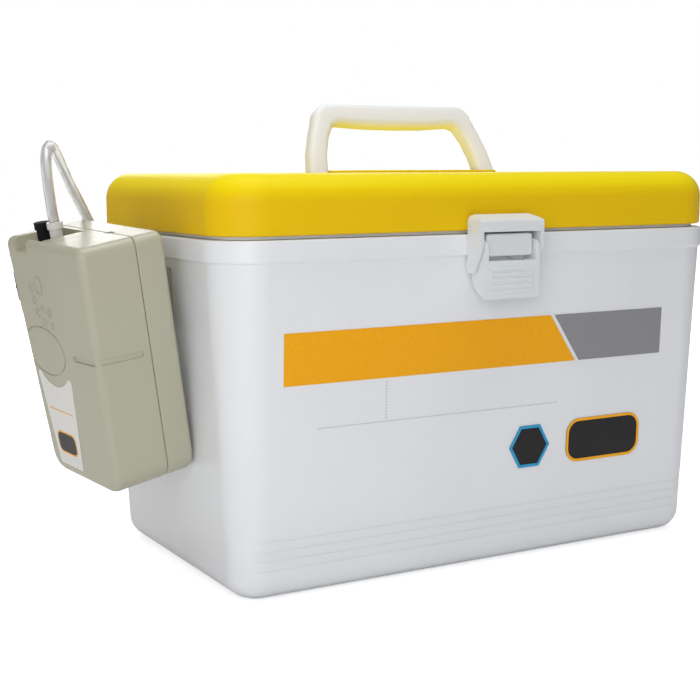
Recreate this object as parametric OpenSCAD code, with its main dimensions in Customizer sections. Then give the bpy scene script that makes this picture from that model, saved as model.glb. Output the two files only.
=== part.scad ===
/* [Cooler body] */
// Length of the lid, end to end
lid_len = 440; // [400:5:520]
// Width of the lid, front to back
lid_wid = 262; // [250:2:320]
// Height of the body, up to the top of its rim band
body_h = 255; // [245:5:310]
// Corner radius of the lid, seen from above
corner_r = 35.5; // [34:0.5:42]
// How far the rim band stands out past the lid
band_proud = 1.5; // [0.5:0.5:2.5]
// Height of the rim band
band_h = 16; // [14:1:18]
// Step from the rim band in to the wall below it
wall_inset = 2.2; // [1.6:0.2:3]
// How far each wall leans in between the band and the floor
wall_draft = 11.2; // [9:0.2:12]
// Radius of the rounding under the body
base_fillet = 17; // [12:1:20]
// Thickness of the outer shell
shell_t = 2.6; // [2.2:0.2:3]
// Whole thickness of the insulated wall at the rim
wall_t = 24; // [22:1:28]
// Whole thickness of the insulated floor
floor_t = 22; // [18:1:30]
// Thickness of the rim at the top of the body
rim_t = 3; // [2.5:0.5:4]
// Width of the ledge that the shell turns in at the rim
ledge_w = 14; // [12:1:15]
// Thickness of the inner liner
liner_t = 2.4; // [2:0.2:3]
// Corner radius of the tub at its mouth
tub_r = 26; // [24:1:32]
// How far each tub wall leans in between the mouth and the floor
tub_draft = 9; // [6:0.5:10]
// Radius of the rounding round the tub floor
tub_fillet = 12; // [8:1:14]
// Height of the lowest step line on the long sides
step_z = 22.5; // [21:0.5:26]
// Distance between the step lines
step_pitch = 7; // [6:0.5:9]
// Number of step lines
step_count = 4; // [2:1:6]
// Depth of a step
step_depth = 0.9; // [0.5:0.1:1.2]

/* [Lid] */
// Gap between the rim and the bottom edge of the lid
lid_gap = 2.5; // [2:0.5:3]
// Height of the lid
lid_h = 42.5; // [40:0.5:48]
// Radius of the rounding round the top of the lid
lid_edge_r = 20; // [14:1:24]
// Radius of the rounding round the bottom edge of the lid
lid_hem_r = 2; // [1:0.5:2.5]
// Wall thickness of the lid shell
lid_t = 3; // [2.5:0.5:3.5]
// How far the neck under the lid lies in from the lid's edge
neck_inset = 6.5; // [5:0.5:9]
// Depth of the plug that goes into the tub
plug_h = 8; // [5:1:10]
// Clearance between the plug and the tub
plug_gap = 1.6; // [1.2:0.2:2.4]

/* [Carry handle] */
// Half of the handle's width at the lid
grip_half = 88; // [84:1:96]
// Height of the handle, from its pivot to its top
grip_h = 69; // [64:1:76]
// Width of a leg at the pivot
leg_w = 16.5; // [14:0.5:18]
// Height of the grip bar
bar_h = 18; // [15:1:20]
// Thickness of the handle
grip_t = 15; // [12:0.5:16]
// Depth of the pivot below the top of the lid
pivot_drop = 10.5; // [10:0.5:12]
// Angle that the handle leans back at rest
grip_lean = 22; // [15:1:26]
// Radius of a pivot pin
grip_pin_r = 4; // [3:0.5:5]

/* [Latch] */
// Width of the latch loop
loop_w = 57; // [57:0.5:64]
// Thickness of an arm of the loop
loop_arm = 3.2; // [3:0.1:3.6]
// Height of the bar across the top of the loop, at its front
loop_bar = 9; // [8:0.5:10]
// Width of the lever
lever_w = 49; // [46:0.5:49.5]
// Thickness of the lever's walls
lever_t = 3.5; // [2.5:0.25:3.5]
// How far the latch stands out from the rim band
latch_out = 17; // [16.5:0.25:18]
// Radius of the lever pin
lever_pin_r = 2; // [1.5:0.25:2.5]

/* [Hinges] */
// Distance of each hinge from the middle
hinge_x = 125; // [90:5:140]
// Width of a hinge
hinge_w = 52; // [40:2:60]
// Radius of the hinge knuckle
knuckle_r = 5; // [4.5:0.25:5.25]
// Radius of the hinge pin
hinge_pin_r = 2; // [1.5:0.25:2.5]
// Thickness of a hinge leaf
leaf_t = 3; // [2.5:0.25:3.25]

/* [Aerator] */
// Width of the aerator at the top
aer_w = 124; // [120:1:134]
// Depth of the aerator
aer_d = 64; // [63:0.5:70]
// Height of the aerator
aer_h = 178; // [174:1:190]
// How much each side draws in towards the bottom
aer_draw = 10.5; // [6:0.5:12]
// Depth of the back cover, up to the seam
cover_d = 22; // [20:0.5:23]
// Wall thickness of the aerator's mouldings
aer_t = 2.2; // [1.8:0.2:2.6]
// How far the top of the aerator hangs away from the rim wall
hang_gap = 22.6; // [20:0.2:26]
// Turn of the aerator, seen from above
aer_yaw = 7; // [0:0.5:8]
// Tilt of the aerator along the wall
aer_roll = 2.5; // [0:0.5:4]
// Place of the aerator's near side, from the middle of the end wall
aer_near = 78; // [70:1:84]
// How far the top of the aerator stands above the rim
aer_rise = 6.6; // [4:0.2:8]

/* [Airline] */
// Outer diameter of the airline
tube_d = 7.5; // [5:0.5:8]
// Depth of the airline's port below the rim band
port_drop = 10; // [9:0.5:14]
// Distance of the airline's port from the corner axis of the tub
port_side = 10.3; // [9.5:0.1:14]

/* [Hidden] */

$fn = 48;
// Clearance between flat faces that touch in the real object
seat = 0.1;
// Clearance between a pin and its bore, on the radius
run = 0.05;
// Clearance between pieces that move past each other
slip = 0.3;
// How far a cutting solid runs past the face that it cuts
past = 1;

// Corner axes, which the body, the band and the lid share
cx = lid_len / 2 - corner_r;
cy = lid_wid / 2 - corner_r;
band_out = corner_r + band_proud;
wall_top = band_out - wall_inset;
wall_bot = wall_top - wall_draft;
band_z = body_h - band_h;
wall_slope = wall_draft / (band_z - base_fillet);
wall_ang = atan(wall_slope);
rim_z = body_h - rim_t;
mouth_out = band_out - ledge_w;
// Corner axes of the tub
tx = cx + wall_top - wall_t - tub_r;
ty = cy + wall_top - wall_t - tub_r;
tub_bot = tub_r - tub_draft;
port_z = band_z - port_drop;
port_y = ty - port_side;
lid_z = body_h + lid_gap;
lid_top = lid_z + lid_h;
band_face = cy + band_out;
lid_face = cy + corner_r;

// Points of an arc about c, from angle a to angle b in n steps
function arc(c, r, a, b, n) = [for (i = [0 : n]) let (t = a + (b - a) * i / n) c + r * [cos(t), sin(t)]];
// Distance from a corner axis out to the body's wall at height z
function wall_out(z) = wall_bot + wall_slope * (z - base_fillet);

function reversed(v) = [for (i = [len(v) - 1 : -1 : 0]) v[i]];
// Section from one side outline, moved out by d, to its mirror image
function two_sided(side, d) =
    concat([for (p = side) [d + p.x, p.y]], [for (p = reversed(side)) [-d - p.x, p.y]]);

// Solid with four round upright corners, whose side has the outline [out from the corner axis, up]
module round_block(lx, ly, side) {
    last = len(side) - 1;
    quarter = concat([[0, side[0].y]], side, [[0, side[last].y]]);
    for (a = [0 : 3])
        rotate(90 * a)
            translate(a % 2 == 0 ? [lx, ly, 0] : [ly, lx, 0])
                rotate_extrude(angle = 90) polygon(quarter);
    rotate([90, 0, 90]) linear_extrude(2 * lx, center = true) polygon(two_sided(side, ly));
    rotate([90, 0, 0]) linear_extrude(2 * ly, center = true) polygon(two_sided(side, lx));
}

// Direction and corner helpers for outlines that run counter-clockwise
function unit(v) = v / norm(v);
function outward(v) = [v.y, -v.x];
function mitre(p, i) =
    let (n = len(p), a = outward(unit(p[i] - p[(i + n - 1) % n])), b = outward(unit(p[(i + 1) % n] - p[i])),
         m = unit(a + b))
    m / (m * a);
// Outline p moved in by d
function inset(p, d) = [for (i = [0 : len(p) - 1]) p[i] - d * mitre(p, i)];
// Rings of a rounded end: [height, inset], from the end face to the full outline
function end_rings(z, r, dir, n) =
    r == 0 ? [[z, 0]] : [for (i = [0 : n]) [z + dir * r * (1 - cos(90 * i / n)), r * (1 - sin(90 * i / n))]];

// Solid with outline p from lo to hi, whose end edges are rounded to r_lo and r_hi
module soft_block(p, lo, hi, r_lo, r_hi, steps = 3) {
    rings = concat(end_rings(lo, r_lo, 1, steps), reversed(end_rings(hi, r_hi, -1, steps)));
    n = len(p);
    m = len(rings);
    pts = [for (r = rings) each [for (q = inset(p, r[1])) [q.x, q.y, r[0]]]];
    sides = [for (j = [0 : m - 2], i = [0 : n - 1])
        let (k = (i + 1) % n, a = j * n + i, b = j * n + k, c = b + n, d = a + n)
        each [[a, c, b], [a, d, c]]];
    first = [for (i = [0 : n - 1]) i];
    polyhedron(pts, concat([first], sides, [[for (i = reversed(first)) (m - 1) * n + i]]));
}

// Ring that rounds the edge of an end face at height z, of a solid that lies on the dir side of it
module rim_cut(p, z, r, dir, steps = 4) {
    section = concat([for (q = arc([0, 0], 1, 0, 90, steps)) r * [1 - q.x, 1 - q.y]],
        [[r, -past], [-past, -past], [-past, r]]);
    n = len(p);
    m = len(section);
    pts = [for (j = [0 : n - 1]) each [for (s = section)
        let (q = p[j] - s.x * mitre(p, j)) [q.x, q.y, z + dir * s.y]]];
    polyhedron(pts, [for (j = [0 : n - 1], k = [0 : m - 1])
        let (up = (k + 1) % m, next = (j + 1) % n,
             a = j * m + k, b = j * m + up, c = next * m + up, d = next * m + k)
        each (dir > 0 ? [[a, b, c], [a, c, d]] : [[a, c, b], [a, d, c]])]);
}

// Outline of a w by h rectangle with corners of radius r, centred on c
function round_rect(c, w, h, r, n = 4) = concat(
    arc(c + [w / 2 - r, r - h / 2], r, -90, 0, n), arc(c + [w / 2 - r, h / 2 - r], r, 0, 90, n),
    arc(c + [r - w / 2, h / 2 - r], r, 90, 180, n), arc(c + [r - w / 2, r - h / 2], r, 180, 270, n));

// Box between two corners
module span(a, b) {
    translate(a) cube(b - a);
}

// Cylinder of radius r between two heights
module rod(r, lo, hi) {
    translate([0, 0, lo]) cylinder(r = r, h = hi - lo);
}

module both_sides() {
    children();
    mirror([1, 0, 0]) children();
}

// Side outline of the body's outer face, moved in by t
function body_side(t) = concat(
    arc([wall_bot - base_fillet, base_fillet], base_fillet - t, -90, 0, 6), [[wall_top - t, band_z]]);
// Side outline of the tub, grown by t, up to height z
function tub_side(t, z) = concat(
    arc([tub_bot - tub_fillet, floor_t + tub_fillet], tub_fillet + t, -90, 0, 5), [[tub_r + t, z]]);
// Distance from a tub corner axis out to the tub's wall at height z
function tub_out(z) = tub_bot + tub_draft * (z - floor_t - tub_fillet) / (rim_z - floor_t - tub_fillet);

// Cooler body
band_chamfer = 1.2;
band_edge_r = 1.6;
// How far a step line runs past the corner axis before it fades into the corner
step_fade = 1.6;
step_rise = step_pitch - 0.5;

// Section of a step line: a wedge that is deepest at its lower edge, measured from the corner axis
function step_section(z) = [[wall_out(z) - step_depth, z], [wall_out(z) + past, z],
    [wall_out(z + step_rise) + past, z + step_rise], [wall_out(z + step_rise), z + step_rise]];

module step_cut(z) {
    rotate([90, 0, 90]) linear_extrude(2 * (cx + step_fade), center = true)
        polygon([for (p = step_section(z)) [-cy - p.x, p.y]]);
    for (s = [-1, 1])
        translate([s * (cx + step_fade), -cy, 0]) rotate(s > 0 ? -90 : 180)
            rotate_extrude(angle = 90) polygon(step_section(z));
}

module outer_shell() {
    color("whitesmoke") difference() {
        round_block(cx, cy, concat(body_side(0),
            [[band_out - band_chamfer, band_z], [band_out, band_z + band_chamfer]],
            arc([band_out - band_edge_r, body_h - band_edge_r], band_edge_r, 0, 90, 3)));
        round_block(cx, cy, concat(body_side(shell_t), [[wall_top - shell_t, rim_z]]));
        round_block(cx, cy, [[mouth_out, rim_z - past], [mouth_out, body_h + past]]);
        for (i = [0 : step_count - 1], a = [0, 180]) rotate(a) step_cut(step_z + i * step_pitch);
        port_axis() rod(sleeve_r + seat, -past, shell_t + past);
        bracket_screw_places() rod(screw_r, -screw_in_wall, past);
        hinge_body_screw_places() rod(screw_r, -leaf_t - screw_in_band, past);
        latch_post_places() rod(post_r + seat, -post_l - past, past);
    }
}

module inner_liner() {
    color("white") difference() {
        union() {
            round_block(tx, ty, tub_side(liner_t, rim_z + rim_t / 2));
            round_block(cx, cy, [[mouth_out - seat, rim_z], [mouth_out - seat, body_h]]);
        }
        round_block(tx, ty, tub_side(0, body_h + past));
        port_axis() rod(sleeve_r + seat, port_run - 2 * liner_t, port_run + past);
    }
}

module body_foam() {
    color("lightyellow") difference() {
        round_block(cx, cy, concat(body_side(shell_t + seat), [[wall_top - shell_t - seat, rim_z - seat]]));
        round_block(tx, ty, tub_side(liner_t + seat, body_h));
        port_axis() rod(sleeve_r + 2 * seat, 0, port_run);
        bracket_screw_places() rod(screw_r + seat, -bracket_t - screw_in_wall - past, past);
        hinge_body_screw_places() rod(screw_r + seat, -leaf_t - screw_in_band - past, past);
        latch_post_places() rod(post_r + 2 * seat, -post_l - past, past);
    }
}

// Airline port through the left end wall
sleeve_r = 5.2;
flange_r = 8.5;
flange_t = 1.8;
// Distance through the wall along the port, from the outer face to the tub
port_run = (cx + wall_out(port_z) - tx - tub_out(port_z)) / cos(wall_ang);

// Place of the port: the up axis points into the tub
module port_axis() {
    translate([-cx - wall_out(port_z), port_y, port_z]) rotate([0, 90 - wall_ang, 0]) children();
}

// Rubber sleeves in the shell and in the liner, each with a flange
module airline_grommets() {
    color("dimgray") port_axis() difference() {
        union() {
            rod(flange_r, -flange_t - seat, -seat);
            rod(sleeve_r, -flange_t, shell_t + 2);
            rod(flange_r, port_run + 2 * seat, port_run + flange_t + 2 * seat);
            rod(sleeve_r, port_run - liner_t - 2, port_run + flange_t);
        }
        rod(tube_d / 2 + seat, -flange_t - past, port_run + flange_t + past);
    }
}

// Hinges at the rear
hinge_z = body_h + lid_gap / 2;
hinge_y = band_face + knuckle_r + 0.6;
screw_r = 1.8;
screw_head_r = 3.2;
screw_head_t = 1.8;
screw_in_band = 4;
screw_in_lid = 5;
leaf_low = band_z + 1.5;
leaf_high = lid_z + 19;
leaf_foot = 5;
lid_knuckle_top = lid_z + 8;
knuckle_gap = 0.4;
knuckle_w = hinge_w / 3;
knuckle_dx = (hinge_w - knuckle_w) / 2;
screw_dx = hinge_w / 2 - 8;
screw_drop = 6;
pin_proud = 0.6;

module hinge_places() {
    for (s = [-1, 1]) translate([s * hinge_x, 0, 0]) children();
}

// Knuckles and their pin lie on this axis, from lo to hi along the hinge
module hinge_rod(r, lo, hi) {
    translate([0, hinge_y, hinge_z]) rotate([0, 90, 0]) rod(r, lo, hi);
}

// Screw places on the leaves: the up axis points out of the cooler
module hinge_body_screw_places() {
    for (s = [-1, 1], k = [-1, 1])
        translate([s * hinge_x + k * screw_dx, band_face + seat + leaf_t, (leaf_low + body_h - past) / 2])
            rotate([-90, 0, 0]) children();
}

module hinge_lid_screw_places() {
    for (s = [-1, 1], k = [-1, 1])
        translate([s * hinge_x + k * screw_dx, lid_face + seat + leaf_t, leaf_high - screw_drop])
            rotate([-90, 0, 0]) children();
}

module leaf_holes() {
    rod(screw_r + seat, -leaf_t - past, past);
    rod(screw_head_r + seat, -screw_head_t - seat, past);
}

// Outer knuckles, on a plate screwed to the rim band
module hinge_body_leaves() {
    color("whitesmoke") difference() {
        hinge_places() difference() {
            union() {
                span([-hinge_w / 2, band_face + seat, leaf_low],
                    [hinge_w / 2, band_face + seat + leaf_t, body_h - past]);
                for (mid = [-knuckle_dx, knuckle_dx]) {
                    hinge_rod(knuckle_r, mid - knuckle_w / 2, mid + knuckle_w / 2);
                    span([mid - knuckle_w / 2, band_face + seat, leaf_low + leaf_foot],
                        [mid + knuckle_w / 2, hinge_y, hinge_z - past]);
                }
            }
            hinge_rod(knuckle_r + slip, -knuckle_w / 2 - knuckle_gap, knuckle_w / 2 + knuckle_gap);
            hinge_rod(hinge_pin_r + run, -hinge_w, hinge_w);
        }
        hinge_body_screw_places() leaf_holes();
    }
}

// Middle knuckle, on a plate screwed to the back of the lid
module hinge_lid_leaves() {
    color("whitesmoke") difference() {
        hinge_places() difference() {
            union() {
                span([-hinge_w / 2, lid_face + seat, lid_z + past],
                    [hinge_w / 2, lid_face + seat + leaf_t, leaf_high]);
                hinge_rod(knuckle_r, -knuckle_w / 2, knuckle_w / 2);
                span([-knuckle_w / 2, lid_face + seat, hinge_z + past],
                    [knuckle_w / 2, hinge_y, lid_knuckle_top]);
            }
            for (mid = [-knuckle_dx, knuckle_dx])
                hinge_rod(knuckle_r + slip, mid - knuckle_w / 2 - knuckle_gap,
                    mid + knuckle_w / 2 + knuckle_gap);
            hinge_rod(hinge_pin_r + run, -hinge_w, hinge_w);
        }
        hinge_lid_screw_places() leaf_holes();
    }
}

module hinge_pins() {
    color("silver") hinge_places() hinge_rod(hinge_pin_r, -hinge_w / 2 - pin_proud, hinge_w / 2 + pin_proud);
}

slot_half = [2, 0.4];
slot_deep = 0.8;

// Screw with a flat head and a cross slot, whose head ends just below z = 0
module cross_screw(grip) {
    difference() {
        union() {
            rod(screw_r - seat, -grip, -screw_head_t / 2);
            rod(screw_head_r, -screw_head_t, -seat);
        }
        for (a = [0, 90])
            rotate(a) span([-slot_half.x, -slot_half.y, -slot_deep], [slot_half.x, slot_half.y, past]);
    }
}

module hinge_body_screws() {
    color("silver") hinge_body_screw_places() cross_screw(leaf_t + screw_in_band);
}

module hinge_lid_screws() {
    color("silver") hinge_lid_screw_places() cross_screw(leaf_t + screw_in_lid);
}

// Latch. Its pieces are drawn in a side view: [out from the rim band, up]
lever_pin = [8.5, body_h - 8.5];
loop_pin = [3.8, body_h - 23];
bar_low = body_h + 2;
bar_front = bar_low + loop_bar;
// Rise of the loop's bar from its front to its back
bar_slope = 3.6;
bar_edge_r = 2.5;
loop_side_r = 6;
lever_low = body_h - 47;
lever_high = body_h - 19;
lever_corner_r = 4;
ear_r = 5;
lug_r = 5.2;
loop_in = loop_w / 2 - loop_arm;
// Wall that the loop's lugs keep over the ends of their pins
lug_skin = 1.2;
block_out = latch_out - 3;
block_high = body_h + 0.5;
block_low = body_h - 16;
foot_w = 7;
foot_low = body_h - 19;
// Block that carries the lever, between the lever's walls
block_w = lever_w - 2 * lever_t - 1;
foot_dx = block_w / 3;
bar_back = 2.4;
catch_w = 34;
catch_h = 8;
catch_low = lid_z + 1.2;
post_r = 3;
post_l = 8;

// Solid across the latch from the side view outline p, between two distances along X
module latch_slice(p, lo, hi) {
    translate([0, -band_face, 0]) rotate([90, 0, 90]) translate([0, 0, lo])
        linear_extrude(hi - lo) polygon([for (q = p) [-q.x, q.y]]);
}

module latch_rod(c, r, lo, hi) {
    translate([0, -band_face - c.x, c.y]) rotate([0, 90, 0]) rod(r, lo, hi);
}

module latch_post_places() {
    for (s = [-1, 1])
        translate([s * foot_dx, -band_face, (block_high + block_low) / 2]) rotate([90, 0, 0]) children();
}

// Pillow block on the rim band, with two feet and two posts through the shell
module latch_base() {
    block = round_rect([0, (block_high + block_low) / 2], block_w, block_high - block_low, 2.2);
    color("white") difference() {
        union() {
            translate([0, -band_face, 0]) rotate([90, 0, 0]) soft_block(block, seat, block_out, 0, 1.8);
            for (s = [-1, 1])
                span([s * foot_dx - foot_w / 2, -band_face - block_out / 2, foot_low],
                    [s * foot_dx + foot_w / 2, -band_face - seat, block_low + past]);
            latch_post_places() rod(post_r, -post_l, past);
        }
        latch_rod(lever_pin, lever_pin_r + run, -block_w, block_w);
    }
}

module latch_lever_pin() {
    color("silver") latch_rod(lever_pin, lever_pin_r, -lever_w / 2, lever_w / 2);
}

// Side view of the lever's walls, which rise into ears
function lever_side() = concat([[latch_out, lever_low + 1]],
    arc([latch_out - ear_r, lever_pin.y], ear_r, 0, 90, 4),
    arc([lever_pin.x - 0.8, lever_pin.y], ear_r, 90, 180, 4),
    [[0.6, loop_pin.y + 4]],
    arc([latch_out - 0.6, loop_pin.y - 6], latch_out - 1, 180, 260, 8),
    [[latch_out - 3, lever_low + 0.6], [latch_out - 1, lever_low]]);

// Ribbed lever: a front plate between two side walls
module latch_lever() {
    rib_count = 5;
    rib_pitch = 4.3;
    rib_low = lever_low + 5.2;
    rib_r = 1.2;
    rib_sunk = 0.3;
    rib_half = lever_w / 2 - 5.5;
    plate = round_rect([0, (lever_low + lever_high) / 2], lever_w, lever_high - lever_low, lever_corner_r);
    color("white") difference() {
        union() {
            for (x = [-lever_w / 2, lever_w / 2 - lever_t]) latch_slice(lever_side(), x, x + lever_t);
            translate([0, -band_face - latch_out + lever_t, 0]) rotate([90, 0, 0])
                soft_block(plate, 0, lever_t, 0, 0.8, 2);
            for (i = [0 : rib_count - 1])
                translate([0, -band_face - latch_out + rib_sunk, rib_low + i * rib_pitch]) rotate([0, 90, 0])
                    rod(rib_r, -rib_half, rib_half);
        }
        latch_rod(lever_pin, lever_pin_r + run, -lever_w, lever_w);
        latch_rod(loop_pin, lever_pin_r + run, -lever_w, lever_w);
    }
}

// Side view of the loop: a bar whose top falls towards its front, and arms that end in lugs
function loop_side() = concat([[latch_out, lever_pin.y], [latch_out, bar_front - bar_edge_r]],
    arc([latch_out - bar_edge_r, bar_front - bar_edge_r], bar_edge_r, 15, 75, 4),
    [[2, bar_front + bar_slope], [slip, bar_front + bar_slope - 1], [slip, band_z - 0.5]],
    arc(loop_pin, lug_r, 150, 320, 8),
    [[loop_pin.x + lug_r + 0.8, loop_pin.y + 1]]);

// Loop that pulls the lid down
module latch_loop() {
    tall = 2 * (bar_front - loop_pin.y);
    front = round_rect([0, bar_front + bar_slope - tall / 2], loop_w, tall, loop_side_r, 6);
    color("white") difference() {
        intersection() {
            latch_slice(loop_side(), -loop_w / 2, loop_w / 2);
            translate([0, past, 0]) rotate([90, 0, 0]) linear_extrude(2 * band_face) polygon(front);
        }
        span([-loop_in, -2 * band_face, loop_pin.y - 2 * lug_r], [loop_in, 0, bar_low]);
        span([-loop_in, -band_face - bar_back, loop_pin.y], [loop_in, 0, bar_front + bar_slope + past]);
        latch_rod(loop_pin, lever_pin_r + run, lug_skin - loop_w / 2, loop_w / 2 - lug_skin);
    }
}

module latch_loop_pins() {
    color("white") both_sides()
        latch_rod(loop_pin, lever_pin_r, lever_w / 2 - lever_t, loop_w / 2 - lug_skin - seat);
}

// Ridge on the lid that the loop's bar pulls on
module lid_catch() {
    ridge = round_rect([0, catch_low + catch_h / 2], catch_w, catch_h, 1.5);
    color("gold") translate([0, -lid_face, 0]) rotate([90, 0, 0])
        soft_block(ridge, seat, band_face - lid_face + bar_back - slip, 0, 0.8, 2);
}

// Lid
lid_wall = 2.5;
pivot_z = lid_top - pivot_drop;
pocket_x = grip_half + 1.2;
pocket_low = pivot_z - leg_w / 2 - 2.6;
pocket_front = grip_h + 2;
pocket_back = pivot_drop * tan(grip_lean) + grip_t / 2 / cos(grip_lean) + slip;
pocket_r = 5;
island_x = grip_half - leg_w - 3;
island_front = grip_h - bar_h - 6;
island_rise = 1.8;
notch_x = 26;
notch_y = 14;
notch_low = lid_top - 12;
pin_end = pocket_x + lid_wall + 3;

// Side outline of the lid moved in by t, from height z up
function lid_side(t, z) = concat([[corner_r - t, z]],
    arc([corner_r - lid_edge_r, lid_top - lid_edge_r], lid_edge_r - t, 0, 90, 8));

// Outline of the island between the handle's legs, seen from above, moved in by t
function island_outline(t, back) =
    let (side = [[island_x - 11, -island_front], [island_x - 6, 6 - island_front], [island_x, -8],
             [island_x, back]])
    inset(concat(side, [for (p = reversed(side)) [-p.x, p.y]]), t);

// Recess for the folded handle, grown by t
module handle_pocket(t, top) {
    translate([0, 0, pocket_low - t]) linear_extrude(top - pocket_low + t)
        polygon(round_rect([0, (pocket_back - pocket_front) / 2], 2 * (pocket_x + t),
            pocket_front + pocket_back + 2 * t, pocket_r));
    span([-notch_x - t, -pocket_front - notch_y - t, notch_low - t], [notch_x + t, -pocket_front, top]);
}

module handle_pin_bores(r) {
    translate([0, 0, pivot_z]) rotate([0, 90, 0]) rod(r, -pin_end - past, pin_end + past);
}

module lid_shell() {
    color("gold") difference() {
        union() {
            round_block(cx, cy, concat(arc([corner_r - lid_hem_r, lid_z + lid_hem_r], lid_hem_r, -90, 0, 3),
                lid_side(0, lid_top - lid_edge_r - past)));
            soft_block(island_outline(0, pocket_back + 20), lid_top - past, lid_top + island_rise, 0, 1.4);
        }
        difference() {
            round_block(cx, cy, concat([[corner_r - lid_t, lid_z - past]], lid_side(lid_t, lid_z)));
            handle_pocket(lid_wall, lid_top + past);
        }
        translate([0, 0, pocket_low - lid_wall - past]) linear_extrude(lid_top - pocket_low + past)
            polygon(island_outline(lid_wall, pocket_back + lid_wall - past));
        difference() {
            handle_pocket(0, lid_top + 2 * past);
            translate([0, 0, pocket_low - past]) linear_extrude(lid_h)
                polygon(island_outline(0, pocket_back + past));
        }
        handle_pin_bores(grip_pin_r + run);
        hinge_lid_screw_places() rod(screw_r, -leaf_t - screw_in_lid - past, past);
    }
}

module lid_foam() {
    color("lightyellow") difference() {
        union() {
            difference() {
                round_block(cx, cy, lid_side(lid_t + seat, lid_z + lid_wall + 2 * seat));
                handle_pocket(lid_wall + seat, lid_top + past);
            }
            translate([0, 0, pocket_low - lid_wall - past]) linear_extrude(lid_top - pocket_low + past - seat)
                polygon(island_outline(lid_wall + seat, pocket_back + lid_wall - past));
        }
        handle_pin_bores(grip_pin_r + 2 * seat);
        hinge_lid_screw_places() rod(screw_r + seat, -leaf_t - screw_in_lid - past, past);
    }
}

// Underside of the lid: a plate inside the shell, a neck that sits on the rim and a plug for the tub
module lid_liner() {
    plug_wall = 10;
    color("white") difference() {
        union() {
            round_block(cx, cy, [for (z = [lid_z, lid_z + lid_wall]) [corner_r - lid_t - seat, z]]);
            round_block(cx, cy, [for (z = [body_h + slip, lid_z + past]) [corner_r - neck_inset, z]]);
            round_block(tx, ty, [[tub_r - plug_gap - 1, body_h - plug_h], [tub_r - plug_gap, body_h + past]]);
        }
        round_block(tx, ty, [[tub_r - plug_wall - 1, body_h - plug_h - past], [tub_r - plug_wall, lid_z]]);
    }
}

module handle_pins() {
    color("silver") both_sides() translate([0, 0, pivot_z]) rotate([0, 90, 0])
        rod(grip_pin_r, grip_half - leg_w - 1.5, pin_end);
}

// Outer side of a leg, from the foot up to the bar: [in from the widest place, share of the height]
grip_outer = [[0, 0.16], [3, 0.41], [8.5, 0.66]];
// Inner side of a leg, and the underside of the bar up to its middle: [in from the leg's foot, below the bar]
grip_inner = [[0, 0.16], [2, 0.36], [6.5, 0.57]];
bar_under = [[12, 1.5], [18, -0.8]];
bar_sag = [[28, 1], [0, 1.4]];
grip_shoulder_r = 15;
grip_shoulder_in = 12.5;
grip_edge_r = 5;

// Right half of the outline of the handle in its own plane: [across, up from the pivot]
function grip_right() = concat(
    arc([grip_half - leg_w / 2, 0], leg_w / 2, 180, 360, 8),
    [for (p = grip_outer) [grip_half - p.x, p.y * grip_h]],
    arc([grip_half - grip_shoulder_in - grip_shoulder_r, grip_h - grip_shoulder_r], grip_shoulder_r, 8, 90, 6));
function grip_under() = concat(
    [for (p = grip_inner) [grip_half - leg_w - p.x, p.y * grip_h]],
    [for (p = bar_under) [grip_half - leg_w - p.x, grip_h - bar_h - p.y]],
    [for (p = bar_sag) [p.x, grip_h - bar_h - p.y]]);
function mirrored(v) = [for (p = v) [-p.x, p.y]];
function grip_outline() =
    let (under = grip_under(), inner = [for (i = [len(under) - 2 : -1 : 0]) under[i]])
    concat(grip_right(), mirrored(reversed(grip_right())), mirrored(under), inner);

module carry_handle() {
    color("white") translate([0, 0, pivot_z]) rotate([-grip_lean, 0, 0]) difference() {
        rotate([90, 0, 0]) difference() {
            linear_extrude(grip_t, center = true) polygon(grip_outline());
            rim_cut(grip_outline(), -grip_t / 2, grip_edge_r, 1, 5);
            rim_cut(grip_outline(), grip_t / 2, grip_edge_r, -1, 5);
        }
        rotate([0, 90, 0]) rod(grip_pin_r + run, -grip_half - past, grip_half + past);
    }
}

// Aerator, drawn in its own frame: back face at x = 0, near side at y = 0, top at z = 0
aer_front = -aer_d;
aer_origin = [-cx - wall_top - hang_gap, -aer_near, body_h + aer_rise];
// Lean that brings the low near corner of the back up to the wall
touch_gap = 0.4;
heel_z = aer_origin.z - aer_h;
heel_y = aer_draw * cos(aer_roll) + aer_h * sin(aer_roll);
aer_lean = asin((-cx - wall_out(heel_z) - touch_gap - aer_origin.x + heel_y * sin(aer_yaw))
    / ((aer_h * cos(aer_roll) - aer_draw * sin(aer_roll)) * cos(aer_yaw)));

module aerator_frame() {
    translate(aer_origin) rotate([aer_roll, -aer_lean, aer_yaw]) children();
}

// The same placing for a point
function about_x(v, a) = [v.x, v.y * cos(a) - v.z * sin(a), v.y * sin(a) + v.z * cos(a)];
function about_y(v, a) = [v.x * cos(a) + v.z * sin(a), v.y, v.z * cos(a) - v.x * sin(a)];
function about_z(v, a) = [v.x * cos(a) - v.y * sin(a), v.x * sin(a) + v.y * cos(a), v.z];
function aer_point(v) = aer_origin + about_z(about_y(about_x(v, aer_roll), -aer_lean), aer_yaw);

// Outline p with corner i rounded to radius r[i]
function rounded(p, r, n = 4) = [for (i = [0 : len(p) - 1])
    let (m = len(p), a = outward(unit(p[i] - p[(i + m - 1) % m])), b = outward(unit(p[(i + 1) % m] - p[i])),
         from = atan2(a.y, a.x), to = atan2(b.y, b.x))
    each arc(p[i] - r[i] * mitre(p, i), r[i], from, to < from ? to + 360 : to, n)];

// Outline of the aerator, seen along it: [along the wall, up]
aer_corners = [[aer_draw, -aer_h], [aer_w - aer_draw, -aer_h], [aer_w, 0], [0, 0]];
aer_outline = rounded(aer_corners, [15, 15, 7, 7]);
aer_edge_r = 5.5;
cover_edge_r = 4;
inner_front = aer_front + aer_t;

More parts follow.
